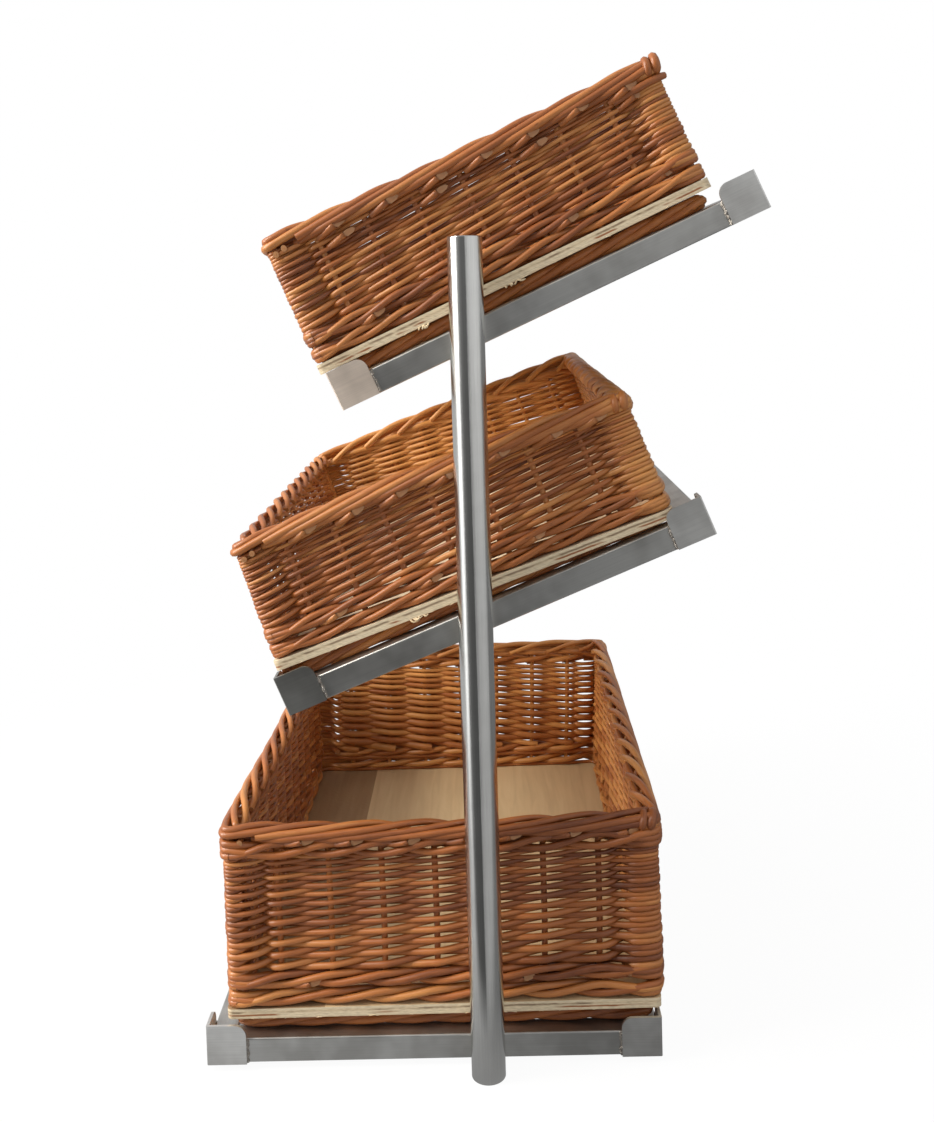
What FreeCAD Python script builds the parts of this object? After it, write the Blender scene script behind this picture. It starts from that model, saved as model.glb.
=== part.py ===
import FreeCAD, Part
import os

import Sketcher

# Bakery bread rack: a welded stainless steel stand that holds three woven willow baskets,
# one on a level lower tray and two on trays that slope down to the front.
# Millimetres, +Z up. The customer's side, with the low edges of the sloping trays, faces -Y,
# and the right-hand post stands at +X. The origin is on the floor, in the middle of the rack.

STEEL = {
    "tray_width": 650,            # across the side tubes of every tray, along X
    "tray_depth": 450,            # from the front tube's face to the back tube's face
    "tube_side": 25,              # square tube of the trays
    "tube_wall": 1.5,
    "tube_edge_radius": 2,
    "bracket_rise": 15,           # corner angles stand above the tubes and hold the basket
    "bracket_thickness": 3,
    "bracket_side_leg": 40,       # along the side tube
    "bracket_cross_leg": 34,      # along the front or back tube
    "bracket_tip_radius": 11,     # rounded upper end of each leg
    "bracket_edge_radius": 1.5,   # rolled outer corner of the angle
    "post_diameter": 33.7,        # standard round tube
    "post_wall": 2,
    "post_line": -6,              # Y of both posts
    "post_head": 82.8,            # post above the upper tray, measured at the post line
    "cap_thickness": 2.5,         # steel disc that closes each end of a post
    "cap_edge_radius": 1.2,
    "bead_radius": 2.2,           # weld bead in the groove between post and side tube
    "bead_gap": 0.05,
    "ground_gap": 7.1,            # lower tray above the floor, which is the height of its feet
    "pad_diameter": 24,           # rubber foot under the lower tray
    "pad_inset": 60,              # from the outer face of the side tube
}

TRAYS = {
    "lower_front": -285.3,        # Y of the front tube's lower front edge
    "lower_tilt": 0,              # degrees, rising to the back
    "lower_headroom": 107.3,      # rim of the lower basket to the middle tray's front edge
    "middle_front": -189.4,
    "middle_tilt": 21.87,
    "middle_headroom": 71.6,      # square to the middle tray, rim to the upper tray's edge
    "upper_front": -126.1,
    "upper_tilt": 23.81,
}

BASKETS = {
    "board_thickness": 10,        # plywood base
    "board_corner_radius": 6,
    "board_side_gap": 7,          # board's long edge inside the outer face of the side tube
    "wall_inset": 1,              # woven wall behind the edge of the board
    "wall_thickness": 14,
    "rim_height": 24,             # plaited border on top of the walls
    "rim_width": 22,
    "rim_proud": 1,               # border beyond the edge of the board
    "rim_top_radius": 8,
    "rim_under_radius": 4,
    "foot_inset": 14,             # woven foot border behind the edge of the board
    "foot_width": 22,
    "seat_gap": 0.3,              # foot border above the tray's tubes
    "weave_gap": 0.3,             # corner stake to the ends of the walls
    "lower_setback": 16.7,        # front edge of the board behind the front tube's face
    "lower_slack": 12,            # board shorter than the tray's depth
    "lower_height": 207,          # underside of the board to the top of the rim
    "lower_foot_front": 15.9,     # foot border's height at the board's front and back edge
    "lower_foot_back": 19,
    "middle_setback": 0.2,
    "middle_slack": 26,
    "middle_height": 140,
    "middle_foot_front": 18,
    "middle_foot_back": 3.4,
    "upper_setback": -9.5,
    "upper_slack": 28,
    "upper_height": 140,
    "upper_foot_front": 15.1,
    "upper_foot_back": 17.1,
}

TIERS = ("lower", "middle", "upper")
ENDS = {"front": -1, "back": 1}
SIDES = {"left": -1, "right": 1}
TOLERANCE = 0.01

doc = FreeCAD.newDocument("BreadRack")
dims = doc.addObject("Spreadsheet::Sheet", "Dims")
for row, (alias, value) in enumerate({**STEEL, **TRAYS, **BASKETS}.items(), 1):
    dims.set(f"A{row}", alias)
    dims.set(f"B{row}", str(value))
    dims.setAlias(f"B{row}", alias)
doc.recompute()

nodes = []


def bind(obj, **expressions):
    """Drives each named property of an object by an expression on the sheet."""
    for name, expression in expressions.items():
        obj.setExpression(name, expression)
    return obj


def node(obj, label):
    """Names a finished sub-part and puts it on the list to be written."""
    obj.Label = label
    nodes.append(obj)
    return obj


def at(x="0", y="0", z="0", tilt="0"):
    """Expression of a placement: a point, and a tilt about the X axis."""
    return f"placement(vector({x}; {y}; {z}); rotation(vector(1; 0; 0); {tilt}))"


# Heights of the trays, each worked out from the basket below it.

def seat(tier):
    """Underside of a basket's board above the tray's underside, at the board's front edge."""
    return f"(Dims.tube_side + Dims.seat_gap + Dims.{tier}_foot_front)"


LOWER_Z = "Dims.ground_gap"
MIDDLE_Z = f"({LOWER_Z} + {seat('lower')} + Dims.lower_height + Dims.lower_headroom)"
UPPER_RISE = (
    f"({seat('middle')} + Dims.middle_height + Dims.middle_headroom"
    " + (Dims.upper_front - Dims.middle_front) * sin(Dims.middle_tilt))"
)
UPPER_Z = f"({MIDDLE_Z} + {UPPER_RISE} / cos(Dims.middle_tilt))"
FRONT_Z = {"lower": LOWER_Z, "middle": MIDDLE_Z, "upper": UPPER_Z}


def tray_place(tier):
    """A tray's own frame: origin at its lower front edge, Y along its side tubes."""
    return at(y=f"Dims.{tier}_front", z=FRONT_Z[tier], tilt=f"Dims.{tier}_tilt")


def height_at_post(tier, dy="0"):
    """Underside of a tray's side tube where it passes the post, dy from the post's axis."""
    run = f"(Dims.post_line + {dy} - Dims.{tier}_front)"
    return f"({FRONT_Z[tier]} + {run} * tan(Dims.{tier}_tilt))"


# Sketched pieces: tubes and corner angles.

def outline(body, name, plane, corners):
    """Closed sketch on one of a body's own planes, each corner bound to two expressions."""
    sketch = body.newObject("Sketcher::SketchObject", name)
    base = next(f for f in body.Origin.OriginFeatures if f.Role == plane)
    sketch.AttachmentSupport = [(base, "")]
    sketch.MapMode = "FlatFace"
    add_loop(sketch, corners)
    return sketch


def add_loop(sketch, corners):
    """Adds one closed loop of straight edges to a sketch."""
    points = [tuple(float(dims.evalExpression(c)) for c in corner) for corner in corners]
    first = sketch.GeometryCount
    count = len(points)
    for i, point in enumerate(points):
        start = FreeCAD.Vector(*point, 0)
        end = FreeCAD.Vector(*points[(i + 1) % count], 0)
        sketch.addGeometry(Part.LineSegment(start, end))
    for i in range(count):
        following = first + (i + 1) % count
        sketch.addConstraint(Sketcher.Constraint("Coincident", first + i, 2, following, 1))
    for i, corner in enumerate(corners):
        for kind, expression, value in zip(("DistanceX", "DistanceY"), corner, points[i]):
            index = sketch.addConstraint(Sketcher.Constraint(kind, -1, 1, first + i, 1, value))
            sketch.setExpression(f"Constraints[{index}]", expression)


def edges_where(shape, test):
    """Names of the straight edges whose two ends both pass the test."""
    return [
        f"Edge{i}"
        for i, edge in enumerate(shape.Edges, 1)
        if len(edge.Vertexes) == 2 and all(test(v.Point) for v in edge.Vertexes)
    ]


def same(a, b):
    return abs(a - b) < TOLERANCE


def size(expression):
    """Present value of an expression on the sheet."""
    return float(dims.evalExpression(expression))


def square_loop(cx, half):
    """Square about the middle of a tube whose axis crosses the sketch at cx."""
    low = f"(Dims.tube_side / 2 - {half})"
    high = f"(Dims.tube_side / 2 + {half})"
    return [
        (f"{cx} - {half}", low),
        (f"{cx} + {half}", low),
        (f"{cx} + {half}", high),
        (f"{cx} - {half}", high),
    ]


def tube_body(label, tier, plane, centre, length, reverse, cuts):
    """One mitred square tube: a hollow section, padded and cut off at 45 degrees."""
    body = doc.addObject("PartDesign::Body", label)
    sketch = outline(body, f"{label}_section", plane, square_loop(centre, "Dims.tube_side / 2"))
    pad = body.newObject("PartDesign::Pad", f"{label}_pad")
    pad.Profile = sketch
    bind(pad, Length=length)
    pad.Reversed = reverse
    pad.Midplane = plane == "YZ_Plane"
    doc.recompute()
    full = size(length)
    long_edges = [f"Edge{i}" for i, e in enumerate(pad.Shape.Edges, 1) if same(e.Length, full)]
    fillet = body.newObject("PartDesign::Fillet", f"{label}_edges")
    fillet.Base = (pad, long_edges)
    bind(fillet, Radius="Dims.tube_edge_radius")
    bore = outline(
        body,
        f"{label}_bore_section",
        plane,
        square_loop(centre, "(Dims.tube_side / 2 - Dims.tube_wall)"),
    )
    pocket(body, f"{label}_bore", bore)
    for i, corners in enumerate(cuts):
        sketch = outline(body, f"{label}_mitre_{i}_outline", "XY_Plane", corners)
        pocket(body, f"{label}_mitre_{i}", sketch)
    bind(body, Placement=tray_place(tier))
    return node(body, label)


def pocket(body, name, sketch):
    """Cuts a sketch right through its body, both ways."""
    cut = body.newObject("PartDesign::Pocket", name)
    cut.Profile = sketch
    cut.Type = 1
    cut.Midplane = True
    return cut


HALF_WIDTH = "Dims.tray_width / 2"
TUBE = "Dims.tube_side"


def side_tube(tier, side):
    """Tube along Y at one side of a tray, with its long face outwards."""
    sign = SIDES[side]
    outer = f"{sign} * {HALF_WIDTH}"
    inner = f"{sign} * ({HALF_WIDTH} - {TUBE})"
    centre = f"{sign} * ({HALF_WIDTH} - {TUBE} / 2)"
    back = "Dims.tray_depth"
    cuts = [
        [(outer, "0"), (inner, "0"), (inner, TUBE)],
        [(outer, back), (inner, back), (inner, f"{back} - {TUBE}")],
    ]
    return tube_body(f"{tier}_tray_{side}_tube", tier, "XZ_Plane", centre, back, True, cuts)


def cross_tube(tier, end):
    """Tube along X at the front or back of a tray, with its long face outwards."""
    outer = "0" if end == "front" else "Dims.tray_depth"
    inner = TUBE if end == "front" else f"Dims.tray_depth - {TUBE}"
    centre = f"{TUBE} / 2" if end == "front" else f"(Dims.tray_depth - {TUBE} / 2)"
    cuts = [
        [
            (f"{sign} * {HALF_WIDTH}", outer),
            (f"{sign} * {HALF_WIDTH}", inner),
            (f"{sign} * ({HALF_WIDTH} - {TUBE})", inner),
        ]
        for sign in SIDES.values()
    ]
    return tube_body(
        f"{tier}_tray_{end}_tube", tier, "YZ_Plane", centre, "Dims.tray_width", False, cuts
    )


def corner_bracket(tier, end, side):
    """Angle welded round the outside of one corner, both of its upper ends rounded."""
    label = f"{tier}_tray_bracket_{end}_{side}"
    across = SIDES[side]
    along = -ENDS[end]
    thick = "Dims.bracket_thickness"
    corner_x = f"{across} * ({HALF_WIDTH} + {thick})"
    face_x = f"{across} * {HALF_WIDTH}"
    tip_x = f"{across} * ({HALF_WIDTH} + {thick} - Dims.bracket_cross_leg)"
    origin = "0" if end == "front" else "Dims.tray_depth"
    corner_y = f"{origin} - {along} * {thick}"
    tip_y = f"{origin} - {along} * ({thick} - Dims.bracket_side_leg)"
    body = doc.addObject("PartDesign::Body", label)
    corners = [
        (corner_x, corner_y),
        (corner_x, tip_y),
        (face_x, tip_y),
        (face_x, origin),
        (tip_x, origin),
        (tip_x, corner_y),
    ]
    sketch = outline(body, f"{label}_section", "XY_Plane", corners)
    pad = body.newObject("PartDesign::Pad", f"{label}_pad")
    pad.Profile = sketch
    height = f"{TUBE} + Dims.bracket_rise"
    bind(pad, Length=height)
    doc.recompute()
    top = size(height)
    ends_x, ends_y = size(tip_x), size(tip_y)
    tips = edges_where(
        pad.Shape,
        lambda p: same(p.z, top) and (same(p.x, ends_x) or same(p.y, ends_y)),
    )
    rounding = body.newObject("PartDesign::Fillet", f"{label}_tips")
    rounding.Base = (pad, tips)
    bind(rounding, Radius="Dims.bracket_tip_radius")
    doc.recompute()
    edge_x, edge_y = size(corner_x), size(corner_y)
    outer = edges_where(rounding.Shape, lambda p: same(p.x, edge_x) and same(p.y, edge_y))
    rolled = body.newObject("PartDesign::Fillet", f"{label}_corner")
    rolled.Base = (rounding, outer)
    bind(rolled, Radius="Dims.bracket_edge_radius")
    bind(body, Placement=tray_place(tier))
    return node(body, label)


# Round steel and rubber pieces.

def cylinder(name, radius, height, place):
    solid = doc.addObject("Part::Cylinder", name)
    return bind(solid, Radius=radius, Height=height, Placement=place)


def group(label, pieces):
    """One node that holds several separate, identical pieces."""
    compound = doc.addObject("Part::Compound", label)
    compound.Links = pieces
    return node(compound, label)


POST_RADIUS = "Dims.post_diameter / 2"
POST_X = f"({HALF_WIDTH} + {POST_RADIUS})"
POST_TOP = f"({height_at_post('upper')} + Dims.tube_side / cos(Dims.upper_tilt) + Dims.post_head)"


def post(side):
    """Upright round tube that stands against the outer faces of the side tubes."""
    label = f"{side}_post"
    place = at(x=f"{SIDES[side]} * {POST_X}", y="Dims.post_line", z="Dims.cap_thickness")
    length = f"{POST_TOP} - 2 * Dims.cap_thickness"
    outer = cylinder(f"{label}_outer", POST_RADIUS, length, place)
    bore = cylinder(f"{label}_bore", f"{POST_RADIUS} - Dims.post_wall", length, place)
    tube = doc.addObject("Part::Cut", label)
    tube.Base = outer
    tube.Tool = bore
    return node(tube, label)


def post_caps():
    """Steel discs welded into line with both ends of each post, outer edge ground round."""
    discs = []
    radius = size("Dims.cap_edge_radius")
    for side, sign in SIDES.items():
        for level, z in (("bottom", "0"), ("top", f"{POST_TOP} - Dims.cap_thickness")):
            place = at(x=f"{sign} * {POST_X}", y="Dims.post_line", z=z)
            blank = cylinder(f"{side}_{level}_disc", POST_RADIUS, "Dims.cap_thickness", place)
            doc.recompute()
            box = blank.Shape.BoundBox
            rim_z = box.ZMin if level == "bottom" else box.ZMax
            disc = doc.addObject("Part::Fillet", f"{side}_{level}_cap")
            disc.Base = blank
            disc.Edges = [
                (i, radius, radius)
                for i, edge in enumerate(blank.Shape.Edges, 1)
                if len(edge.Vertexes) == 1 and same(edge.Vertexes[0].Z, rim_z)
            ]
            discs.append(disc)
    return group("post_end_caps", discs)


def post_welds():
    """Round beads in the grooves on both sides of each post, at all three trays."""
    beads = []
    radius = f"(Dims.bead_radius + Dims.bead_gap)"
    reach = f"(2 * sqrt({POST_RADIUS} * {radius}))"
    for tier in TIERS:
        depth = f"(Dims.tube_side / cos(Dims.{tier}_tilt))"
        for side, across in SIDES.items():
            for end, along in ENDS.items():
                dy = f"{along} * {reach}"
                place = at(
                    x=f"{across} * ({HALF_WIDTH} + {radius})",
                    y=f"Dims.post_line + {dy}",
                    z=f"{height_at_post(tier, dy)} + Dims.bead_radius",
                )
                length = f"{depth} - 2 * Dims.bead_radius"
                name = f"{tier}_{side}_{end}_bead"
                beads.append(cylinder(name, "Dims.bead_radius", length, place))
    return group("post_weld_beads", beads)


def rubber_feet():
    """Pads under the lower tray's front and back tubes, level with the ends of the posts."""
    pads = []
    rows = {
        "front": f"Dims.lower_front + {TUBE} / 2",
        "back": f"Dims.lower_front + Dims.tray_depth - {TUBE} / 2",
    }
    for end, y in rows.items():
        for side, sign in SIDES.items():
            place = at(x=f"{sign} * ({HALF_WIDTH} - Dims.pad_inset)", y=y)
            pads.append(
                cylinder(f"{end}_{side}_pad", "Dims.pad_diameter / 2", "Dims.ground_gap", place)
            )
    return group("rubber_feet", pads)


# Baskets. Each has its own frame: origin under the middle of the board's front edge,
# Y along the board to the back, Z square to the board.

BOARD_WIDTH = "(Dims.tray_width - 2 * Dims.board_side_gap)"
WALL_REACH = "(Dims.wall_thickness + Dims.wall_inset)"
STAKE_ROOM = f"({WALL_REACH} + Dims.weave_gap)"


def basket_place(tier):
    """A basket's frame. It leans with its tray and with the two heights of its foot border."""
    board = f"(Dims.tray_depth - Dims.{tier}_slack)"
    lean = f"asin((Dims.{tier}_foot_back - Dims.{tier}_foot_front) / {board})"
    inner = at(y=f"Dims.{tier}_setback", z=seat(tier), tilt=lean)
    return f"{tray_place(tier)} * {inner}"


def box(name, tier, sizes, corner):
    """Block in a basket's frame, from its three sizes and its lowest corner."""
    block = doc.addObject("Part::Box", name)
    place = f"{basket_place(tier)} * {at(*corner)}"
    return bind(block, Length=sizes[0], Width=sizes[1], Height=sizes[2], Placement=place)


def rounded(name, base, choose, radius):
    """Fillets the edges of a shape that the test accepts, or their whole chains."""
    doc.recompute()
    shape = doc.addObject("Part::Fillet", name)
    shape.Base = base
    shape.Edges = [(i, radius, radius) for i, e in enumerate(base.Shape.Edges, 1) if choose(e)]
    return shape


def local_z(tier, edge):
    """Heights of an edge's two ends above the underside of the basket's board."""
    frame = dims.evalExpression(basket_place(tier)).inverse()
    return [frame.multVec(v.Point).z for v in edge.Vertexes]


def base_board(tier):
    depth = f"(Dims.tray_depth - Dims.{tier}_slack)"
    label = f"{tier}_basket_base_board"
    blank = box(
        f"{label}_blank",
        tier,
        (BOARD_WIDTH, depth, "Dims.board_thickness"),
        (f"-{BOARD_WIDTH} / 2", "0", "0"),
    )
    thickness = size("Dims.board_thickness")
    board = rounded(
        label, blank, lambda e: same(e.Length, thickness), size("Dims.board_corner_radius")
    )
    return node(board, label)


def wall(tier, face):
    """One woven side of a basket, between two corner stakes."""
    depth = f"(Dims.tray_depth - Dims.{tier}_slack)"
    height = f"(Dims.{tier}_height - Dims.board_thickness - Dims.rim_height)"
    if face in SIDES:
        sizes = ("Dims.wall_thickness", f"{depth} - 2 * {STAKE_ROOM}", height)
        outer = f"{BOARD_WIDTH} / 2 - Dims.wall_inset"
        low_x = f"{outer} - Dims.wall_thickness" if face == "right" else f"-({outer})"
        corner = (low_x, STAKE_ROOM, "Dims.board_thickness")
    else:
        sizes = (f"{BOARD_WIDTH} - 2 * {STAKE_ROOM}", "Dims.wall_thickness", height)
        low_y = "Dims.wall_inset" if face == "front" else f"{depth} - {WALL_REACH}"
        corner = (f"-{BOARD_WIDTH} / 2 + {STAKE_ROOM}", low_y, "Dims.board_thickness")
    label = f"{tier}_basket_{face}_wall"
    return node(box(label, tier, sizes, corner), label)


def corner_stakes(tier):
    """The four thick upright stakes that the side weavers turn round."""
    depth = f"(Dims.tray_depth - Dims.{tier}_slack)"
    height = f"Dims.{tier}_height - Dims.board_thickness - Dims.rim_height"
    centre = "(Dims.wall_inset + Dims.wall_thickness / 2)"
    stakes = []
    for side, sign in SIDES.items():
        for end, y in (("front", centre), ("back", f"{depth} - {centre}")):
            local = at(f"{sign} * ({BOARD_WIDTH} / 2 - {centre})", y, "Dims.board_thickness")
            place = f"{basket_place(tier)} * {local}"
            name = f"{tier}_{side}_{end}_stake"
            stakes.append(cylinder(name, "Dims.wall_thickness / 2", height, place))
    return group(f"{tier}_basket_corner_stakes", stakes)


def ring(name, tier, outset, width, low, height):
    """Rectangular ring in a basket's frame, outset from the board's edge."""
    depth = f"(Dims.tray_depth - Dims.{tier}_slack)"
    solids = []
    for part, offset in (("outer", outset), ("inner", f"({outset} - {width})")):
        sizes = (f"{BOARD_WIDTH} + 2 * {offset}", f"{depth} + 2 * {offset}", height)
        corner = (f"-({BOARD_WIDTH} / 2 + {offset})", f"-({offset})", low)
        solids.append(box(f"{name}_{part}", tier, sizes, corner))
    cut = doc.addObject("Part::Cut", f"{name}_ring")
    cut.Base, cut.Tool = solids
    return cut


def rim_border(tier):
    """Plaited border along the top of the walls, its edges rounded all the way round."""
    label = f"{tier}_basket_rim_border"
    low = f"(Dims.{tier}_height - Dims.rim_height)"
    square = ring(label, tier, "Dims.rim_proud", "Dims.rim_width", low, "Dims.rim_height")
    top = size(f"Dims.{tier}_height")
    bottom = size(low)
    radii = ((top, size("Dims.rim_top_radius")), (bottom, size("Dims.rim_under_radius")))
    shape = square
    for count, (level, radius) in enumerate(radii):
        shape = rounded(
            f"{label}_{count}",
            shape,
            lambda e: all(same(z, level) for z in local_z(tier, e)),
            radius,
        )
    return node(shape, label)


def foot_border(tier):
    """Woven ring under the board, cut off level with the tubes that it stands on."""
    label = f"{tier}_basket_foot_border"
    deep = f"(Dims.{tier}_foot_front + Dims.{tier}_foot_back)"
    blank = ring(label, tier, "-Dims.foot_inset", "Dims.foot_width", f"-{deep}", deep)
    below = doc.addObject("Part::Box", f"{label}_below_tray_top")
    top = "(Dims.tube_side + Dims.seat_gap)"
    corner = at(f"-{HALF_WIDTH}", "-Dims.tray_depth / 2", f"{top} - 2 * {deep}")
    bind(
        below,
        Length="Dims.tray_width",
        Width="2 * Dims.tray_depth",
        Height=f"2 * {deep}",
        Placement=f"{tray_place(tier)} * {corner}",
    )
    foot = doc.addObject("Part::Cut", label)
    foot.Base = blank
    foot.Tool = below
    return node(foot, label)


for tier in TIERS:
    for side in SIDES:
        side_tube(tier, side)
    for end in ENDS:
        cross_tube(tier, end)
        for side in SIDES:
            corner_bracket(tier, end, side)

for side in SIDES:
    post(side)
post_caps()
post_welds()
rubber_feet()

for tier in TIERS:
    base_board(tier)
    foot_border(tier)
    for face in (*ENDS, *SIDES):
        wall(tier, face)
    corner_stakes(tier)
    rim_border(tier)

doc.recompute()
for obj in doc.Objects:
    if "Invalid" in obj.State or "Error" in obj.State:
        raise RuntimeError(f"{obj.Name}: {obj.State}")
for piece in nodes:
    if piece.Shape.isNull() or not piece.Shape.isValid() or not piece.Shape.Solids:
        raise RuntimeError(f"{piece.Label}: no valid solid")

os.makedirs("parts", exist_ok=True)
for piece in nodes:
    piece.Shape.exportStep(f"parts/{piece.Label}.step")
print(len(nodes), "sub-parts,", sum(len(p.Shape.Solids) for p in nodes), "solids")
print("lower, middle, upper tray at", *(round(size(FRONT_Z[t]), 2) for t in TIERS))
print("post height", round(size(POST_TOP), 2))
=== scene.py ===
import math
import random

import bpy
import numpy as np
from mathutils import Matrix


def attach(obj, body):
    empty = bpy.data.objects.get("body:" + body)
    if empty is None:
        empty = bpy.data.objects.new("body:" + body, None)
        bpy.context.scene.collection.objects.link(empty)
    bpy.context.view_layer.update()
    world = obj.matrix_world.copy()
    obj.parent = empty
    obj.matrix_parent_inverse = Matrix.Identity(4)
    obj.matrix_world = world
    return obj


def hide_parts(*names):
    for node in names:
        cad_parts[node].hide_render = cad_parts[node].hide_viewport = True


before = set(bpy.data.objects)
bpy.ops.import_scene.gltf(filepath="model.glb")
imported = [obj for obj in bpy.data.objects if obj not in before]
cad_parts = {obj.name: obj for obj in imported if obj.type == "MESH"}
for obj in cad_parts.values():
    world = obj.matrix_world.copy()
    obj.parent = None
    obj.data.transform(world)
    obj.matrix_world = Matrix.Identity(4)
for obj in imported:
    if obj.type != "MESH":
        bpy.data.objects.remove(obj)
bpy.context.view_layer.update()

# The look of the bakery bread rack: willow baskets woven rod by rod, plywood, steel, floor, lamps and
# camera. Sizes are in millimetres, and meshes are built in metres. The customer's side faces -Y. The
# photograph looks at the right-hand side, +X, which is called near here. The other one is far.

MM = 0.001
SEED = 11
rng = random.Random(SEED)

# ------------------------------------------------------------ sizes of the part

TRAYS = {  # Y and Z of the lower front edge, and tilt in degrees
    "lower": (-285.3, 7.1, 0.0),
    "middle": (-189.4, 362.6, 21.87),
    "upper": (-126.1, 662.68, 23.81),
}
TRAY_HALF = 325.0  # from the middle to the outer face of a side tube
TRAY_DEPTH = 450.0
TUBE = 25.0  # side of the square tubes
BRACKET = 3.0  # thickness of the corner angles
SIDE_LEG = 40.0  # of a corner angle, along the side tube
CROSS_LEG = 34.0  # along the front or back tube
BASKETS = {  # setback, board depth, height, foot at the front and at the back
    "lower": (16.7, 438.0, 207.0, 15.9, 19.0),
    "middle": (0.2, 424.0, 140.0, 18.0, 3.4),
    "upper": (-9.5, 422.0, 140.0, 15.1, 17.1),
}
SEAT_GAP = 0.3  # from the tray's tubes to a basket's foot
BOARD_HALF = 318.0  # half the board's width
BOARD = 10.0  # its thickness
RIM = 25.0  # height of the plaited border
STAKE_INSET = 10.0  # stakes behind the edge of the board
BAYS_SHORT = (45, 52, 53, 53, 53.5, 54.5, 55, 52)  # between stakes, along the depth, as shares
BAYS_LONG = (46, 51, 52, 52, 52, 52, 52, 52, 52, 52, 52, 48)  # and along the width
STAKE_R = 3.1
POST_R = 4.4  # of a corner stake

LIFTS = {  # how far the rim stands up at the near and the far side: front, middle, back
    "lower": ((-1.0, -5.0, 1.0), (-5.0, -2.0, 0.0)),
    "middle": ((3.0, 6.0, 2.0), (10.0, 15.0, 16.0)),
    "upper": ((15.0, 8.0, 8.0), (10.0, 8.0, 8.0)),
}
LIFT_POWER = 1.5  # how the lift grows from the board to the rim
LEANS = {  # of the front rim, and of the back rim at the near and the far side
    "lower": (-3.0, 2.0, 8.0),
    "middle": (1.5, 0.0, 0.0),
    "upper": (2.0, 4.0, 4.0),
}
SHIFTS = {"lower": 2.3, "middle": 0.0, "upper": 0.0}  # of all the walls towards the back
SHIFT_FROM = 8.0  # height where a shift starts
SHIFT_OVER = 14.0  # height that it takes to come in
BOW = 7.0  # of the lower basket's front rim, inwards
BOW_REACH = 1.15  # the bow runs from the far corner over 1 / 1.15 of the width
WEAVES = {  # first and last row, a rod's radius as a share of its row, factors along the far side
    "lower": (6.2, 3.4, 0.60, (1.1, 1.12, 1.45)),
    "middle": (5.2, 3.0, 0.54, (1.05, 1.05, 1.3)),
    "upper": (4.7, 2.9, 0.60, (1.0, 1.0, 1.0)),
}


def rotation_x(degrees):
    c, s = math.cos(math.radians(degrees)), math.sin(math.radians(degrees))
    return np.array([[1, 0, 0], [0, c, -s], [0, s, c]])


def tray_frame(tier):
    """Rotation and origin, in mm, of a tray."""
    y, z, tilt = TRAYS[tier]
    return rotation_x(tilt), np.array([0, y, z])


def basket_frame(tier):
    """Rotation and origin, in mm, of a basket: under the middle of its board's front edge."""
    setback, depth, _, front, back = BASKETS[tier]
    turn, origin = tray_frame(tier)
    lean = math.degrees(math.asin((back - front) / depth))
    return turn @ rotation_x(lean), origin + turn @ np.array([0, setback, TUBE + SEAT_GAP + front])


def settle(tier, points):
    """Hand-made unevenness: the rim rises, sags, leans and bows, less and less towards the board."""
    _, depth, height, _, _ = BASKETS[tier]
    x, y, n = points.T
    near = np.clip(0.5 + x / (2 * BOARD_HALF), -0.05, 1.05)
    t = np.clip(y / depth, 0, 1)
    weights = np.stack([(1 - 2 * t) * (1 - t), 4 * t * (1 - t), t * (2 * t - 1)], axis=-1)
    near_lift, far_lift = (weights @ np.array(lift) for lift in LIFTS[tier])
    lift = far_lift + (near_lift - far_lift) * near
    share = np.clip(n / height, 0, 1.2)
    front, near_back, far_back = LEANS[tier]
    back = far_back + (near_back - far_back) * near
    shift = SHIFTS[tier] * np.clip((n - SHIFT_FROM) / SHIFT_OVER, 0, 1)
    y = y + shift + (front * (1 - t) + back * t) * share
    if tier == "lower":
        bow = np.clip(np.sin(math.pi * np.clip(near * BOW_REACH, 0, 1)), 0, 1)
        y = y + BOW * share * (1 - t) * bow
    return np.stack([x, y, n + lift * share ** LIFT_POWER], axis=-1)


# ------------------------------------------------------------ nodes and materials

def new_material(name, uniform):
    """A material, its nodes and its shader, with the values that are the same everywhere."""
    mat = bpy.data.materials.new(name)
    mat.use_nodes = True
    tree = mat.node_tree
    shader = tree.nodes["Principled BSDF"]
    for key, value in uniform.items():
        shader.inputs[key].default_value = value
    return mat, tree, shader


def add(tree, kind, inputs=None, **settings):
    """Adds a shader node of a kind, sets its properties, and sets or links its inputs."""
    made = tree.nodes.new("ShaderNode" + kind)
    for key, value in settings.items():
        setattr(made, key, value)
    for key, value in (inputs or {}).items():
        if hasattr(value, "links"):
            tree.links.new(value, made.inputs[key])
        else:
            made.inputs[key].default_value = value
    return made


def ramp(tree, factor, stops):
    """Colour ramp with (position, colour) stops."""
    made = add(tree, "ValToRGB", {"Fac": factor})
    elements = made.color_ramp.elements
    while len(elements) > 1:
        elements.remove(elements[-1])
    elements[0].position, elements[0].color = stops[0][0], (*stops[0][1], 1)
    for position, colour in stops[1:]:
        elements.new(position).color = (*colour, 1)
    return made.outputs["Color"]


def grey(tree, factor, stops):
    """Grey ramp with (position, level) stops."""
    return ramp(tree, factor, [(position, (level,) * 3) for position, level in stops])


def mix(tree, factor, a, b, blend="MIX"):
    made = add(tree, "Mix", data_type="RGBA", blend_type=blend)
    for index, value in ((0, factor), (6, a), (7, b)):
        if hasattr(value, "links"):
            tree.links.new(value, made.inputs[index])
        else:
            made.inputs[index].default_value = value
    return made.outputs[2]


def maths(tree, operation, a, b=0.0, c=0.0):
    return add(tree, "Math", {0: a, 1: b, 2: c}, operation=operation).outputs[0]


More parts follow.
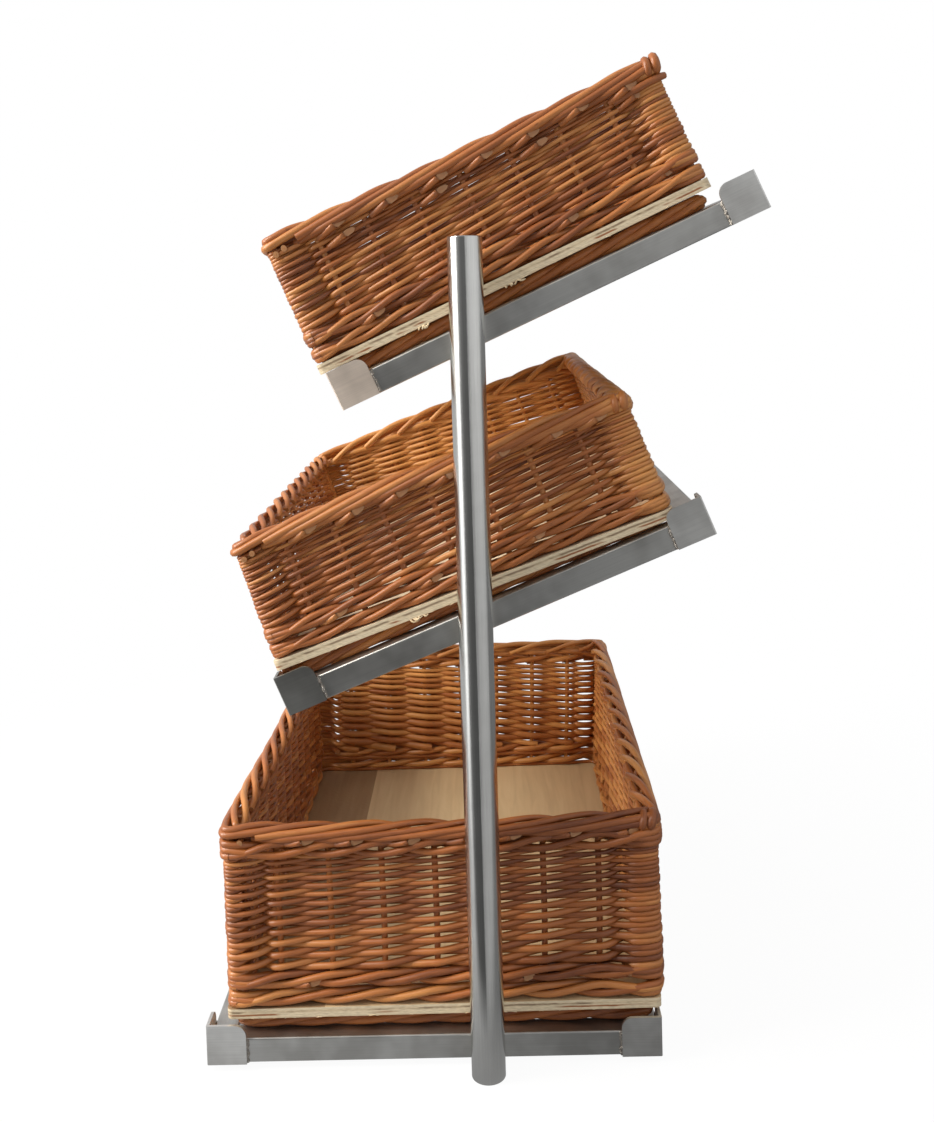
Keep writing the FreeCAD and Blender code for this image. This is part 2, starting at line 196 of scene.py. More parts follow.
def noise(tree, where, scale, detail, roughness=0.5, distortion=0.0, stretch=None, shift=(0, 0, 0)):
    """Noise from 0 to 1 at a place, or in generated coordinates if there is no place."""
    if stretch:
        mapped = add(tree, "Mapping", {"Vector": where, "Scale": stretch, "Location": shift})
        where = mapped.outputs[0]
    inputs = {"Scale": scale, "Detail": detail, "Roughness": roughness, "Distortion": distortion}
    if where is not None:
        inputs["Vector"] = where
    return add(tree, "TexNoise", inputs).outputs["Fac"]


def map_range(tree, value, low, high, at_low, at_high):
    """Straight line from at_low to at_high, level beyond low and high."""
    inputs = {"Value": value, "From Min": low, "From Max": high, "To Min": at_low, "To Max": at_high}
    return add(tree, "MapRange", inputs).outputs[0]


def add_bump(tree, shader, height, strength, distance):
    bump = add(tree, "Bump", {"Height": height, "Strength": strength, "Distance": distance})
    tree.links.new(bump.outputs[0], shader.inputs["Normal"])


STREAK_SHARE, TONE_SHARE, BLOTCH_SHARE = 0.42, 0.62, 0.3  # of what makes a rod light or dark
TONE_DROP = 0.17  # taken off their sum
CUT_END = (0.46, 0.25, 0.11, 1)


def willow_material(name, tones, roughness):
    """Stained willow: each rod has its own tone, with streaks along it, knots and pale cut ends."""
    mat, tree, shader = new_material(name, {
        "Roughness": roughness, "Specular IOR Level": 0.5, "Coat Weight": 0.3, "Coat Roughness": 0.3})
    dark, middle, light = tones
    rod = add(tree, "Attribute", attribute_name="rod").outputs["Vector"]
    tone = add(tree, "Attribute", attribute_name="tone").outputs["Fac"]
    cut = add(tree, "Attribute", attribute_name="cut").outputs["Fac"]
    streaks = noise(tree, rod, 2.2, 4.0, roughness=0.6, stretch=(0.35, 5.0, 1.0))
    blotches = noise(tree, rod, 1.6, 2.0, stretch=(0.12, 0.6, 1.0))
    value = maths(tree, "MULTIPLY_ADD", streaks, STREAK_SHARE, maths(tree, "MULTIPLY", tone, TONE_SHARE))
    value = maths(tree, "ADD", value, maths(tree, "MULTIPLY", blotches, BLOTCH_SHARE))
    value = maths(tree, "SUBTRACT", value, TONE_DROP)
    colour = ramp(tree, value, [(0.1, dark), (0.5, middle), (0.92, light)])
    knot_at = add(tree, "Mapping", {"Vector": rod, "Scale": (0.3, 1.4, 1.0)}).outputs[0]
    knots = add(tree, "TexVoronoi", {"Vector": knot_at, "Scale": 1.0})
    spot = grey(tree, knots.outputs["Distance"], ((0.03, 1), (0.09, 0)))
    darkest = (*[c * 0.45 for c in dark], 1)
    colour = mix(tree, maths(tree, "MULTIPLY", spot, 0.55), colour, darkest)
    colour = mix(tree, maths(tree, "MULTIPLY", cut, 0.7), colour, CUT_END)
    tree.links.new(colour, shader.inputs["Base Color"])
    add_bump(tree, shader, streaks, 0.25, 0.0006)
    return mat


FACE_VENEER = {  # colours of the grain, dark to light, lighter or darker per tier as painted light
    "lower": ((0.58, 0.42, 0.235), (0.65, 0.48, 0.27), (0.70, 0.53, 0.31)),
    "middle": ((0.68, 0.54, 0.36), (0.75, 0.61, 0.42), (0.80, 0.67, 0.48)),
    "upper": ((0.54, 0.41, 0.25), (0.60, 0.46, 0.29), (0.65, 0.51, 0.33)),
}
VENEER_JOINT = {"lower": 99.0}  # how far back a darker leaf of veneer goes
DARK_LEAF = (0.55, 0.48, 0.45, 1)
PLY_LIGHT, PLY_PALE, PLY_LINE = (0.66, 0.53, 0.35), (0.76, 0.65, 0.46), (0.56, 0.43, 0.27)
PLIES = (  # colours at shares of the board's thickness, from the underside up
    (0.0, PLY_LIGHT), (0.27, PLY_PALE), (0.30, PLY_LINE), (0.34, PLY_PALE), (0.60, PLY_LIGHT),
    (0.635, PLY_LINE), (0.67, PLY_LIGHT), (0.93, PLY_PALE), (1.0, PLY_LIGHT),
)
TORN_BAND = ((0.5, 0), (0.60, 1), (0.70, 1), (0.78, 0))  # where the edge is torn
TORN_SHARE = ((0.46, 0), (0.55, 1))  # of a noise: how much of that band is torn
# painted shade in the gaps where the ply is torn
TORN = (0.17, 0.10, 0.055, 1)
PATCH_BAND = ((0.22, 0), (0.28, 1), (0.40, 1), (0.46, 0))  # where it has reddish patches
RED_SHARE = ((0.54, 0), (0.60, 1))  # of a noise
PATCH = (0.33, 0.13, 0.05, 1)


def ply_edge(tree, where, layer, fibres):
    """The board's edge: plies, a torn ply with painted shade in its gaps, reddish patches and rough fibres.
    """
    torn = grey(tree, noise(tree, where, 1.0, 4.0, roughness=0.65, stretch=(14, 14, 60)), TORN_SHARE)
    gaps = maths(tree, "MULTIPLY", grey(tree, layer, TORN_BAND), torn)
    plies = mix(tree, maths(tree, "MULTIPLY", gaps, 0.75), ramp(tree, layer, PLIES), TORN)
    red = grey(tree, noise(tree, where, 1.0, 3.0, stretch=(9, 9, 50), shift=(3.1, 1.7, 0.4)), RED_SHARE)
    plies = mix(tree, maths(tree, "MULTIPLY", grey(tree, layer, PATCH_BAND), red), plies, PATCH)
    shade = ramp(tree, fibres, [(0.3, (0.45, 0.42, 0.38)), (0.6, (1, 1, 1))])
    return mix(tree, 0.4, plies, shade, "MULTIPLY")


def ply_face(tree, tier, where):
    """The board's upper and lower face: long grain, and a joint between two leaves of veneer."""
    grain = noise(tree, where, 2.5, 6.0, distortion=0.6, stretch=(3, 40, 40))
    # the tier's grain colours carry its painted light
    face = ramp(tree, grain, list(zip((0.25, 0.5, 0.75), FACE_VENEER[tier])))
    if tier in VENEER_JOINT:
        _, origin = basket_frame(tier)
        depth_at = add(tree, "SeparateXYZ", {0: where}).outputs["Y"]
        dark = maths(tree, "LESS_THAN", depth_at, (float(origin[1]) + VENEER_JOINT[tier]) * MM)
        face = mix(tree, dark, face, mix(tree, 1.0, face, DARK_LEAF, "MULTIPLY"))
    return face


def plywood_material(tier):
    """Birch plywood: face grain on top and below, light and dark plies around the edge."""
    mat, tree, shader = new_material(f"{tier}_plywood", {"Roughness": 0.62})
    turn, origin = basket_frame(tier)
    normal = turn @ np.array([0, 0, 1])
    coordinates = add(tree, "TexCoord")
    where = coordinates.outputs["Object"]
    height = add(tree, "VectorMath", {0: where, 1: tuple(normal)}, operation="DOT_PRODUCT")
    height = maths(tree, "SUBTRACT", height.outputs["Value"], float(normal @ origin) * MM)
    wobble = maths(tree, "SUBTRACT", noise(tree, where, 45.0, 3.0), 0.5)
    height = maths(tree, "ADD", height, maths(tree, "MULTIPLY", wobble, 0.0016))
    layer = maths(tree, "MULTIPLY", height, 1 / (BOARD * MM))
    fibres = noise(tree, where, 3.0, 5.0, stretch=(60, 60, 300))
    up = add(tree, "VectorMath", {0: coordinates.outputs["Normal"], 1: tuple(normal)},
             operation="DOT_PRODUCT")
    flat = maths(tree, "GREATER_THAN", maths(tree, "ABSOLUTE", up.outputs["Value"]), 0.8)
    colour = mix(tree, flat, ply_edge(tree, where, layer, fibres), ply_face(tree, tier, where))
    tree.links.new(colour, shader.inputs["Base Color"])
    add_bump(tree, shader, fibres, 0.35, 0.0008)
    return mat


BRUSHED_ALONG, BRUSHED_ACROSS = 2.5, 260.0  # scale of the fine lines in the steel


def steel_material(name, tilt=0.0, along=(1, 0, 0), base=0.74, roughness=0.36, streak=0.10, warm=0.0,
                   dirt=0.8, metal=1.0):
    """Brushed stainless steel, with fine lines along one axis of a tray and faint smudges."""
    mat, tree, shader = new_material(name, {"Metallic": metal})
    where = add(tree, "TexCoord").outputs["Object"]
    level = add(tree, "VectorRotate", {"Vector": where, "Angle": math.radians(tilt)},
                rotation_type="X_AXIS", invert=True).outputs[0]
    stretch = tuple(BRUSHED_ALONG if a else BRUSHED_ACROSS for a in along)
    lines = noise(tree, level, 5.0, 6.0, roughness=0.7, stretch=stretch)
    smudge = noise(tree, level, 14.0, 3.0, roughness=0.6)
    # base and warm carry the part's painted light and painted reflection
    tint = (base + 0.02 * warm, base - 0.05 * warm, base - 0.02 - 0.10 * warm)
    dim = tuple(c * 0.86 for c in tint)
    colour = ramp(tree, lines, [(0.3, dim), (0.7, tint)])
    stain = ramp(tree, smudge, [(0.38, (0.66, 0.65, 0.64)), (0.60, (1, 1, 1))])
    tree.links.new(mix(tree, dirt, colour, stain, "MULTIPLY"), shader.inputs["Base Color"])
    rough = maths(tree, "MULTIPLY_ADD", lines, streak, roughness - streak / 2)
    rough = maths(tree, "ADD", rough, maths(tree, "MULTIPLY", smudge, 0.08))
    tree.links.new(rough, shader.inputs["Roughness"])
    add_bump(tree, shader, lines, 0.18, 0.0004)
    return mat


def rubber_material():
    """Black rubber with a fine grit."""
    mat, tree, shader = new_material("rubber", {"Roughness": 0.8})
    colour = grey(tree, noise(tree, None, 900.0, 3.0), ((0.3, 0.012), (0.7, 0.04)))
    tree.links.new(colour, shader.inputs["Base Color"])
    return mat


WELD_TINTS = ((0.16, 0.13, 0.10), (0.42, 0.38, 0.34), (0.62, 0.60, 0.56))  # brown to bright


def weld_material():
    """Stainless weld bead, with ripples and heat tints."""
    mat, tree, shader = new_material("weld", {"Metallic": 1.0, "Roughness": 0.42})
    ripple = noise(tree, None, 420.0, 3.0)
    colour = ramp(tree, ripple, list(zip((0.34, 0.48, 0.62), WELD_TINTS)))
    tree.links.new(colour, shader.inputs["Base Color"])
    add_bump(tree, shader, ripple, 0.8, 0.001)
    return mat


# ------------------------------------------------------------ rods

SIDES = 8  # of a rod's cross-section
ANGLES = np.arange(SIDES) * 2 * math.pi / SIDES
CAP_BULGE = 0.12  # of a cut end, as a share of the radius
CUT_SLANT = 2.8  # how steeply a slanting cut runs
WALL_AT = 270.0  # the near and far walls are beyond this distance from the middle
BACK_AT = 40.0  # the back wall starts this far before the board's back edge
BLEND = 30.0  # width over which a wall's painted light and shade set in
PAINTED_LIGHT = {"lower": 0.34, "middle": 0.6, "upper": 0.24}  # painted light: lighter willow on the far wall
BACK_LIGHT_SHARE = 0.8  # share of that painted light on the back wall
PAINTED_SHADE = {"lower": (0.10, 0.36)}  # painted shade: darker willow on the near wall, at its front and back end


def shaded(tier, verts, tones):
    """Tones with painted light on the far and back walls and painted shade on the near wall."""
    x, y, _ = verts.T
    depth = BASKETS[tier][1]
    far = np.clip((-x - WALL_AT) / BLEND, 0, 1)
    back = np.clip((y - depth + BACK_AT) / BLEND, 0, 1)
    near = np.clip((x - WALL_AT) / BLEND, 0, 1)
    along = np.clip(y / depth, 0, 1)
    first, last = PAINTED_SHADE.get(tier, (0.0, 0.0))
    tones = tones + PAINTED_LIGHT[tier] * np.maximum(far, BACK_LIGHT_SHARE * back)
    return tones - near * (first + (last - first) * along ** 2)


def rings_along(points, radii, upright):
    """Rings of points around a line, without twist, and the line's tangents."""
    tangent = np.gradient(points, axis=0)
    tangent /= np.linalg.norm(tangent, axis=1)[:, None]
    side = np.empty_like(tangent)
    side[0] = np.cross(tangent[0], (1.0, 0, 0) if upright else (0, 0, 1.0))
    for i, along in enumerate(tangent):
        turned = side[max(i - 1, 0)]
        turned = turned - along * (turned @ along)
        side[i] = turned / np.linalg.norm(turned)
    up = np.cross(side, tangent)
    circle = np.cos(ANGLES)[None, :, None] * side[:, None]
    circle = circle + np.sin(ANGLES)[None, :, None] * up[:, None]
    return points[:, None] + radii[:, None, None] * circle, tangent


class Rods:
    """Collects round rods in a basket's frame and turns them into one mesh.

    Every vertex has three attributes for the willow: "rod" is the place along the rod in
    centimetres, the place around it and a number of its own, "tone" goes from dark to light and
    carries the walls' painted light and shade, and "cut" is 1 on a cut end.
    """

    def __init__(self):
        self.verts, self.faces, self.tone, self.rod, self.cut = [], [], [], [], []
        self.count = 0

    def add(self, points, radii, tone=None, upright=False, caps=(True, True), slant=None):
        """One rod along points, with a radius at each point and perhaps a slanting last cut."""
        points = np.asarray(points, float)
        radii = np.broadcast_to(np.asarray(radii, float), (len(points),))
        rings, tangent = rings_along(points, radii, upright)
        if slant is not None:
            rings[-1] -= tangent[-1] * ((rings[-1] - points[-1]) @ slant)[:, None] * CUT_SLANT
        count, base = len(points), self.count
        length = np.concatenate([[0], np.cumsum(np.linalg.norm(np.diff(points, axis=0), axis=1))])
        seed = rng.uniform(0, 50)
        tone = rng.random() if tone is None else tone
        self.verts.append(rings.reshape(-1, 3))
        coords = np.zeros((count, SIDES, 3))
        coords[:, :, 0] = (length / 10)[:, None] + seed
        coords[:, :, 1] = np.abs(ANGLES / math.pi - 1)[None, :]
        coords[:, :, 2] = seed
        self.rod.append(coords.reshape(-1, 3))
        self.tone.append(np.full(count * SIDES, tone))
        self.cut.append(np.zeros(count * SIDES))
        i = np.arange(count - 1)[:, None] * SIDES
        j = np.arange(SIDES)[None, :]
        k = (j + 1) % SIDES
        quads = np.stack([i + j, i + SIDES + j, i + SIDES + k, i + k], axis=-1).reshape(-1, 4)
        self.faces.extend((quads + base).tolist())
        self.count += count * SIDES
        for wanted, ring, outward, order in ((caps[0], 0, -1, 1), (caps[1], count - 1, 1, -1)):
            if wanted:
                self._cap(rings[ring], points[ring] + outward * tangent[ring] * radii[ring] * CAP_BULGE,
                          coords[ring], tone, order)

    def _cap(self, ring, middle, coords, tone, order):
        """Cut end of a rod, with vertices of its own so that it keeps a crisp, pale face."""
        base = self.count
        self.verts.append(np.vstack([ring, middle]))
        self.rod.append(np.vstack([coords, coords.mean(0)]))
        self.tone.append(np.full(SIDES + 1, tone))
        self.cut.append(np.r_[np.ones(SIDES), 0.55])
        for j in range(SIDES):
            face = [base + j, base + (j + 1) % SIDES, base + SIDES]
            self.faces.append(face[::order])
        self.count += SIDES + 1

    def build(self, name, tier, material, nodes, slot="willow", place=None, body=None, settled=True):
        """Mesh object that rides on a body and stands for CAD nodes."""
        turn, origin = place or basket_frame(tier)
        verts = np.vstack(self.verts)
        tones = np.concatenate(self.tone)
        if settled:
            tones = shaded(tier, verts, tones)
            verts = settle(tier, verts)
        verts = (verts @ turn.T + origin) * MM
        mesh = bpy.data.meshes.new(name)
        mesh.from_pydata(verts.tolist(), [], self.faces)
        for key, kind, data in (("tone", "FLOAT", [tones]), ("cut", "FLOAT", self.cut),
                                ("rod", "FLOAT_VECTOR", self.rod)):
            layer = mesh.attributes.new(key, kind, "POINT")
            flat = np.concatenate([np.ravel(d) for d in data]).astype(np.float32)
            layer.data.foreach_set("vector" if kind == "FLOAT_VECTOR" else "value", flat)
        mesh.shade_smooth()
        mesh.materials.append(material)
        obj = bpy.data.objects.new(name, mesh)
        bpy.context.scene.collection.objects.link(obj)
        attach(obj, body or f"{tier}_basket")
        if nodes:
            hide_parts(*nodes)


def curve(points, radii, step):
    """Smooth curve through unevenly spaced points, with the radii carried along."""
    p, r = np.asarray(points, float), np.asarray(radii, float)
    gap = np.maximum(np.linalg.norm(np.diff(p, axis=0), axis=1), 1e-6)[:, None]
    slope = np.diff(p, axis=0) / gap
    tangent = np.vstack([slope[:1], (slope[:-1] * gap[1:] + slope[1:] * gap[:-1]) / (gap[:-1] + gap[1:]),
                         slope[-1:]])
    places, widths = [], []
    for i, length in enumerate(gap[:, 0]):
        t = np.linspace(0, 1, max(2, math.ceil(length / step)), endpoint=False)[:, None]
        places.append((2 * t ** 3 - 3 * t ** 2 + 1) * p[i] + (t ** 3 - 2 * t ** 2 + t) * length * tangent[i]
                      + (3 * t ** 2 - 2 * t ** 3) * p[i + 1] + (t ** 3 - t ** 2) * length * tangent[i + 1])
        widths.append(r[i] + (r[i + 1] - r[i]) * t[:, 0])
    return np.vstack(places + [p[-1:]]), np.concatenate(widths + [r[-1:]])


CORNER_CUT = 0.85  # how far a rod goes into a corner that it passes on the inside


class Loop:
    """The ring of stakes of a basket: right side, back, left side, then front."""

    def __init__(self, depth, inset):
        half, first, last = BOARD_HALF - inset, inset, depth - inset
        self.corners = np.array([[half, first], [half, last], [-half, last], [-half, first]])
        self.normals = np.array([[1, 0], [0, 1], [-1, 0], [0, -1]], float)
        self.shares = []
        for bays in (BAYS_SHORT, BAYS_LONG, BAYS_SHORT, BAYS_LONG):
            self.shares.append(np.concatenate([[0], np.cumsum(bays)]) / sum(bays))
        self.first = np.cumsum([0] + [len(s) - 1 for s in self.shares])
        self.total = int(self.first[-1])

    def side(self, position):
        return int(np.searchsorted(self.first, position % self.total, side="right") - 1)

    def is_corner(self, position):
        return abs(position - round(position)) < 1e-6 and round(position) % self.total in self.first[:4]

    def bay(self, index):
        """Length of the bay after a stake, measured to just before the next one."""
        return float(np.linalg.norm(self.point(index + 0.999) - self.point(index))) / 0.999

    def point(self, position, offset=0.0):
        """Point at a position counted in bays, offset outwards."""
        position = position % self.total
        side = self.side(position)
        shares = self.shares[side]
        share = np.interp(position - self.first[side], np.arange(len(shares)), shares)
        a, b = self.corners[side], self.corners[(side + 1) % 4]
        return a + (b - a) * share + self.normals[side] * offset

    def trace(self, stations):
        """Points and radii along stations (position, offset, height, radius), round the corners."""
        full = []
        for a, b in zip(stations, stations[1:]):
            full.append(a)
            for corner in range(math.floor(a[0]) + 1, math.ceil(b[0])):
                if self.is_corner(corner):
                    t = (corner - a[0]) / (b[0] - a[0])
                    full.append(tuple(u + (v - u) * t for u, v in zip(a, b)))
        full.append(stations[-1])
        points, radii = [], []
        for position, offset, height, radius in full:
            if self.is_corner(position):
                side = self.side(round(position))
                corner, before, after = self.corners[side], self.normals[side - 1], self.normals[side]
                if offset > 1:
                    ways = [before, (before + after) / math.sqrt(2), after]
                else:
                    ways = [(before + after) * CORNER_CUT]
                places = [corner + way * offset for way in ways]
            else:
                places = [self.point(position, offset)]
            points += [[*xy, height] for xy in places]
            radii += [radius] * len(places)
        return points, radii


def levels(low, high, first, last):
    """Heights of the rows of a wall whose row pitch goes from first to last."""
    count = max(2, round((high - low) / ((first + last) / 2)))
    pitch = np.linspace(first, last, count)
    pitch *= (high - low) / pitch.sum()
    return low + np.concatenate([[0], np.cumsum(pitch)]), np.concatenate([pitch, pitch[-1:]])


# ------------------------------------------------------------ ways of weaving

BEND = 7.0  # a rod bends this far before and after a side stake
HUG = 0.75  # of the radii of stake and rod: how far apart their middles pass
POST_HUG = 0.85  # of the rod's radius, at a corner stake
FAR_SIDE = 2  # its number in a Loop
FAR_WALL = (0.0, 3.6, 4.4)  # bays along the far side where a weave's far factors hold


def past_stake(here, inside, height, row, radius, back, ahead):
    """Stations of a rod at a side stake, between bays of the lengths back and ahead."""
    reach = (STAKE_R * HUG + radius * HUG) * (-1 if inside else 1)
    return [(here - BEND / back, reach * 0.78, height - 0.13 * row, radius),
            (here, reach, height, radius),
            (here + BEND / ahead, reach * 0.78, height + 0.13 * row, radius)]


def round_post(here, inside, height, row, radius, back, ahead):
    """Stations of a rod that goes outside round a corner stake, and perhaps dips in on both sides."""
    reach = POST_R + radius * POST_HUG
    if inside:
        before = [(here - 28 / back, -radius - 2.2, height - 0.6 * row, radius),
                  (here - 19 / back, reach * 0.95, height - 0.2 * row, radius)]
        after = [(here + 15 / ahead, -radius, height + 0.3 * row, radius),
                 (here + 29 / ahead, -radius - 1.6, height + 0.6 * row, radius)]
    else:
        before = [(here - 20 / back, reach * 0.9, height - 0.3 * row, radius)]
        after = [(here + 20 / ahead, reach * 0.85, height + 0.35 * row, radius)]
    return [*before, (here, reach, height, radius), *after]


def french_rand(rods, loop, low, high, first, last, full, far):
    """One rod starts behind each stake and climbs a row per bay, outside and inside in turn.

    A rod's radius is full times the height of its row, and on the far side far times as much.
    """
    heights, pitch = levels(low, high, first, last)
    for start in range(loop.total):
        fat = rng.uniform(0.9, 1.1)
        stations = []
        for k, (height, row) in enumerate(zip(heights, pitch)):
            here = start + k
            radius = full * row * fat
            if loop.side(here) == FAR_SIDE:
                radius *= float(np.interp(here % loop.total - loop.first[FAR_SIDE], FAR_WALL, far))
            height += rng.uniform(-0.08, 0.08) * row
            shape = round_post if loop.is_corner(here) else past_stake
            stations += shape(here, k % 2 == 0, height, row, radius, loop.bay(here - 1), loop.bay(here))
        rods.add(*curve(*loop.trace(stations), step=8.5), tone=rng.betavariate(1.7, 1.7))


WALE_SHARES = (0.25, 0.75, 0.5)  # height in a round: outside two stakes, then inside one


def wale(rods, loop, low, rounds, rise, radius):
    """Three rods that pass outside two stakes and inside one, with the look of a rope."""
    for turn in range(rounds):
        for phase in range(3):
            stations = []
            tone = rng.betavariate(2, 2)
            for k in range(loop.total + 1):
                step = (k + phase) % 3
                corner = loop.is_corner(k)
                width = radius * rng.uniform(0.9, 1.08)
                reach = (POST_R if corner else STAKE_R) + width * 0.8
                height = low + (turn + WALE_SHARES[step]) * rise + rng.uniform(-0.6, 0.6)
                stations.append((k, reach if corner or step != 2 else -reach, height, width))
            rods.add(*curve(*loop.trace(stations), step=9), tone=tone)


def hoop(rods, loop, offset, height, radius):
    """A plain rod all the way round."""
    stations = [(k, offset, height, radius) for k in range(loop.total + 1)]
    rods.add(*curve(*loop.trace(stations), step=14), tone=0.3)


STUB_PATH = ((-0.34, -9.5, -4.0), (-0.16, -4.5, -2.4), (0.0, -2.6, -0.6), (0.12, -2.2, 0.4))


def stubs(rods, loop, height, radius, chosen, reach):
    """Rods that come out through the wall, run along it and end in a slanting cut.

    STUB_PATH gives bays along, offset from reach and rise, and chosen lists the bays.
    """
    for index in chosen:
        at = index + rng.uniform(0.35, 0.55)
        n = height + rng.uniform(-1.2, 1.2)
        stations = [(at + along, reach + out, n + up, radius) for along, out, up in STUB_PATH]
        outward = np.append(loop.normals[loop.side(at)], 0)
        rods.add(*curve(*loop.trace(stations), step=4), tone=rng.uniform(0.3, 0.7),
                 caps=(False, True), slant=outward)


BORDER_PATH = [  # bays after the strand's own stake, offset outwards, height above the base
    (0.0, 0.0, -8.0), (0.5, -3.0, -1.0), (1.0, -6.0, 2.5), (1.5, 0.5, 2.0), (2.0, 7.2, 3.0),
    (2.6, 8.4, 5.6), (3.2, 7.8, 8.6), (3.9, 5.4, 12.0), (4.5, 0.0, 14.6), (4.95, -6.0, 13.0),
    (5.3, -9.0, 8.0), (5.6, -8.0, 2.5),
]
BORDER_TAPER = ((0, 4.4, 5.6), (1.0, 1.0, 0.8))  # width along that path
CUT_STRANDS = 2  # the last strands, which are seen only beyond the near front corner


def border(rods, loop, base, radius):
    """Stakes bent down to the right over each other: strands that climb across the outside."""
    for start in range(loop.total):
        lift, wobble = rng.uniform(-0.6, 0.6), rng.uniform(-0.5, 0.5)
        width = radius * rng.uniform(0.92, 1.08)
        stations = []
        for s, w, n in BORDER_PATH:
            if start >= loop.total - CUT_STRANDS and start + s < loop.total + 0.5:
                continue
            taper = float(np.interp(s, *BORDER_TAPER))
            stations.append((start + s, w + wobble, base + n + lift, width * taper))
        rods.add(*curve(*loop.trace(stations), step=6), tone=rng.betavariate(3, 2.4))


def border_ends(rods, loop, base):
    """The last strands of the front, cut off square where they come out at the near corner."""
    x, y = loop.corners[0]
    for along, up in ((1.5, -1.5), (11.0, 0.8)):
        rods.add([[x + out, y + along, base + up] for out in (-14, -4, 10.5)], 3.0, tone=0.45,
                 caps=(False, True))
    for offset, up in ((-3.0, 1.0), (-3.5, 6.5)):
        behind = [(0.02, offset, base + up, 3.4), (0.3, offset, base + up, 3.4),
                  (0.9, offset - 2, base + up + 1, 3.2)]
        rods.add(*curve(*loop.trace(behind), step=5), tone=0.15)


KNOTS = {"lower": (-6.5, 13.5), "middle": (-5.0, 13.5), "upper": (-0.5, 15.0)}  # place and crest
KNOT_GAP = 8.6  # between its two strands
UPPER_STRAND = (  # out of the near back corner, along the side, height, radius
    (5, -44, -7, 3.4), (8.5, -14, -4.5, 3.8), (7.5, 4, -4, 3.8), (4, 12, -4.5, 3.0),
)


def knot(rods, loop, tier, base):
    """Two strands at the near back corner that are pulled up over the border, side by side."""
    x, y = loop.corners[1]
    place, crest = KNOTS[tier]
    for along, reach, width, top in ((place, 10.0, 4.1, crest), (place + KNOT_GAP, 9.0, 4.8, crest - 0.5)):
        edge, line, crown = x + reach, y + along, base + top
        path = [(edge - 6, line - 3, base + 1), (edge - 0.5, line - 2, base + 4),
                (edge + 0.3, line - 1, base + 9), (edge - 3.5, line, crown - 1.5),
                (edge - 11, line + 0.5, crown), (x - 6, line, crown - 4), (x - 9.5, line - 1, base + 7)]
        widths = [width * share for share in (0.8, 1, 1, 1, 1, 0.9, 0.7)]
        rods.add(*curve(path, widths, step=3), upright=True, tone=rng.uniform(0.1, 0.3))
    if tier == "upper":
        path = [(x + out, y + along, base + up) for out, along, up, _ in UPPER_STRAND]
        rods.add(*curve(path, [radius for *_, radius in UPPER_STRAND], step=4), tone=0.2)


FOOT_INSET = 17.0  # foot rope behind the edge of the board
FOOT_THICKEST = 4.6  # radius of its strands
FOOT_HOOPS = ((0.28, 0.0, 0.26), (0.72, 0.0, 0.26), (0.79, -7.5, 0.2))  # height, offset, radius


def foot_room(tier, loop, position):
    """Height of the foot at a position of the loop. The shares of the foot's rods are of this."""
    _, depth, _, front, back = BASKETS[tier]
    return front + (back - front) * loop.point(position)[1] / depth


def foot(rods, loop, tier):
    """A rope of three strands under the board, thinner where the foot is lower, filled with hoops."""
    for phase in range(3):
        stations = []
        tone = rng.betavariate(2.4, 3)
        for k in range(2 * loop.total + 1):
            room = foot_room(tier, loop, k / 2)
            width = min(FOOT_THICKEST, room * 0.29)
            turn = (k / 6 + phase / 3) * 2 * math.pi
            height = -room / 2 + (room / 2 - width) * math.sin(turn)
            stations.append((k / 2, 3.0 + 2.6 * math.cos(turn), height, width))
        rods.add(*curve(*loop.trace(stations), step=9), tone=tone)
    for share, offset, size in FOOT_HOOPS:
        stations = []
        for k in range(loop.total + 1):
            room = foot_room(tier, loop, k)
            stations.append((k, offset, -room * share, room * size))
        rods.add(*curve(*loop.trace(stations), step=14), tone=0.2)


def foot_ends(rods, tier):
    """Ends of two foot strands that poke forward under the front corners of the board."""
    room = BASKETS[tier][3]
    for side in (-1, 1):
        for share in (0.27, 0.73):
            x, z = side * (BOARD_HALF - 16), -room * share
            rods.add([[x - side * 2, 34, z], [x, 18, z], [x, 2.5, z]], room * 0.24, tone=0.3)


# ------------------------------------------------------------ baskets

WEAVE_LOW = {"lower": 46.0, "middle": 41.0, "upper": 41.0}  # where the lower wale ends
UPPER_WALE = 164.0  # only the lower basket is tall enough for one, from here to the border


def side_stakes(loop, wall_top):
    """Upright stakes between the corners, from the board into the border."""
    stakes = Rods()
    for index in range(loop.total):
        if not loop.is_corner(index):
            x, y = loop.point(index)
            stakes.add([[x, y, z] for z in (BOARD - 1, wall_top / 2, wall_top + 4)], STAKE_R,
                       upright=True, tone=rng.uniform(0.35, 0.8))
    return stakes


def corner_posts(loop, wall_top):
    posts = Rods()
    for x, y in loop.corners:
        posts.add([[x, y, z] for z in (BOARD, wall_top / 2, wall_top + 10)], POST_R,
                  upright=True, tone=0.4)
    return posts


def weave(tier, loop, wall_top):
    rods = Rods()
    top = UPPER_WALE + 2 if tier == "lower" else wall_top + 1
    french_rand(rods, loop, WEAVE_LOW[tier] - 1.5, top, *WEAVES[tier])
    return rods


def wales(tier, loop, wall_top):
    """The rope-like bands, two plain rods inside the lower one, and ends that come out of it."""
    rods = Rods()
    low = WEAVE_LOW[tier]
    rise = (low - BOARD) / 2
    wale(rods, loop, BOARD + 0.3, 2, rise, rise * 0.215)
    if tier == "lower":
        wale(rods, loop, UPPER_WALE - 2, 1, wall_top - UPPER_WALE + 6, 3.9)
    hoop(rods, loop, -3.0, BOARD + 2.4, 2.5)
    hoop(rods, loop, -3.0, BOARD + rise + 2.5, 3.4)
    stubs(rods, loop, low - 12, 3.0, range(1, loop.total, 2), 10.6)
    return rods


